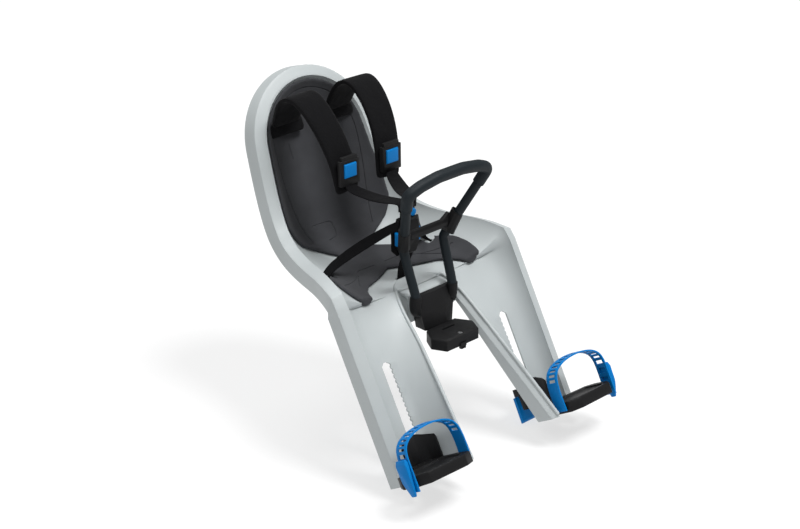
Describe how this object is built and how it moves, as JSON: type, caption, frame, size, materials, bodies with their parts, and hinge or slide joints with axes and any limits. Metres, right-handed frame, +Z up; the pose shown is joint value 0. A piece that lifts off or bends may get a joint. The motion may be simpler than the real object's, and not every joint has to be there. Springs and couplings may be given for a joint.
{
  "type": "front child bicycle seat",
  "caption": "Front-mounted child bicycle seat: moulded bucket with leg troughs, padding, harness, small handlebar, mount bracket and sliding footrests.",
  "frame": {"origin": "centre of the mouth of the socket in the underside of the mount head", "axes": "+Z up, the seated child faces -Y, +X is the child's left"},
  "size_m": [0.468, 0.5527, 0.5507],
  "materials": {
    "shell_plastic": "satin light grey",
    "pad_foam": "matt charcoal foam",
    "strap_fabric": "woven black",
    "black_plastic": "fine grain black",
    "blue_plastic": "satin blue",
    "bar_paint": "satin slate black",
    "grip_rubber": "soft slate black",
    "steel": "plain"
  },
  "bodies": {
    "root": {"adjuster_left": "black_plastic", "adjuster_right": "black_plastic", "bracket": "black_plastic", "bracket_bolts": "steel", "bracket_bridge": "shell_plastic", "buckle": "black_plastic", "buckle_backing": "strap_fabric", "buckle_tongues": "black_plastic", "crotch_anchor": "black_plastic", "crotch_strap": "strap_fabric", "handlebar": "bar_paint", "handlebar_brace": "black_plastic", "handlebar_elbows": "black_plastic", "handlebar_grip": "grip_rubber", "hip_anchors": "black_plastic", "hip_strap_left": "strap_fabric", "hip_strap_right": "strap_fabric", "seat_padding": "pad_foam", "seat_shell": "shell_plastic", "shoulder_anchors": "black_plastic", "shoulder_pad_left": "strap_fabric", "shoulder_pad_right": "strap_fabric", "shoulder_webbing_left": "strap_fabric", "shoulder_webbing_right": "strap_fabric", "tongue_tab": "blue_plastic"},
    "footrest_left": {"footrest_platform_left": "black_plastic", "footrest_carriage_left": "black_plastic", "foot_strap_left": "blue_plastic", "strap_catch_left": "blue_plastic"},
    "lever_left": {"footrest_lever_left": "blue_plastic"},
    "shoulder_button_left": {"adjuster_button_left": "blue_plastic"},
    "side_button_left": {"buckle_button_left": "blue_plastic"},
    "footrest_right": {"footrest_platform_right": "black_plastic", "footrest_carriage_right": "black_plastic", "foot_strap_right": "blue_plastic", "strap_catch_right": "blue_plastic"},
    "lever_right": {"footrest_lever_right": "blue_plastic"},
    "shoulder_button_right": {"adjuster_button_right": "blue_plastic"},
    "side_button_right": {"buckle_button_right": "blue_plastic"},
    "latch": {"mount_latch": "black_plastic"},
    "lock": {"lock_barrel": "steel"}
  },
  "joints": [
    {"name": "footrest_slide_left", "type": "slide", "parent": "root", "child": "footrest_left", "axis": [0, 0.4818, 0.8763], "range_m": [0, 0.11]},
    {"name": "footrest_lever_left", "type": "hinge", "parent": "footrest_left", "child": "lever_left", "pos_m": [0.1315, -0.03316, -0.12836], "axis": [1, 0, 0], "range_deg": [0, 40]},
    {"name": "adjuster_button_left", "type": "slide", "parent": "root", "child": "shoulder_button_left", "axis": [0, 1, 0], "range_m": [0, 0.002], "stiffness_N_per_m": 1500},
    {"name": "buckle_button_left", "type": "slide", "parent": "root", "child": "side_button_left", "axis": [-1, 0, 0], "range_m": [0, 0.003], "stiffness_N_per_m": 1500},
    {"name": "footrest_slide_right", "type": "slide", "parent": "root", "child": "footrest_right", "axis": [0, 0.4818, 0.8763], "range_m": [0, 0.11]},
    {"name": "footrest_lever_right", "type": "hinge", "parent": "footrest_right", "child": "lever_right", "pos_m": [-0.1315, -0.03316, -0.12836], "axis": [1, 0, 0], "range_deg": [0, 40]},
    {"name": "adjuster_button_right", "type": "slide", "parent": "root", "child": "shoulder_button_right", "axis": [0, 1, 0], "range_m": [0, 0.002], "stiffness_N_per_m": 1500},
    {"name": "buckle_button_right", "type": "slide", "parent": "root", "child": "side_button_right", "axis": [1, 0, 0], "range_m": [0, 0.003], "stiffness_N_per_m": 1500},
    {"name": "mount_latch", "type": "slide", "parent": "root", "child": "latch", "axis": [0, 1, 0], "range_m": [0, 0.0025], "stiffness_N_per_m": 1500},
    {"name": "lock_turn", "type": "hinge", "parent": "root", "child": "lock", "pos_m": [0, -0.0205, 0.02], "axis": [0, 0, 1], "range_deg": [0, 90]}
  ]
}
